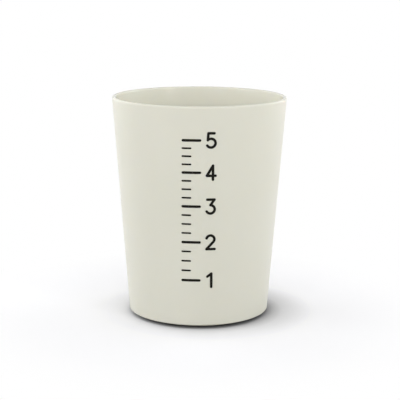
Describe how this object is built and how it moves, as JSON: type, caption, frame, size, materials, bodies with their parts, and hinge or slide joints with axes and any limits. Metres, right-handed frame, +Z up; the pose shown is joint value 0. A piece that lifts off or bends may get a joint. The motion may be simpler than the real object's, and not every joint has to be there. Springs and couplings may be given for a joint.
{
  "type": "reusable cup",
  "caption": "Tapered single-wall reusable drinking cup with a rounded lip, a stand ring and a plain numbered fill scale.",
  "frame": {"origin": "middle of the plane that the stand ring rests on", "axes": "+Z up along the cup's axis, -Y towards the printed front, +X to the right of someone facing the print"},
  "size_m": [0.084, 0.084, 0.1065],
  "materials": {
    "moulded_plastic": "satin injection moulding, warm ivory",
    "ink": "cured black pad-printing ink"
  },
  "bodies": {
    "root": {"cup": "moulded_plastic", "scale_lines": "ink", "scale_numbers": "ink"}
  },
  "joints": []
}
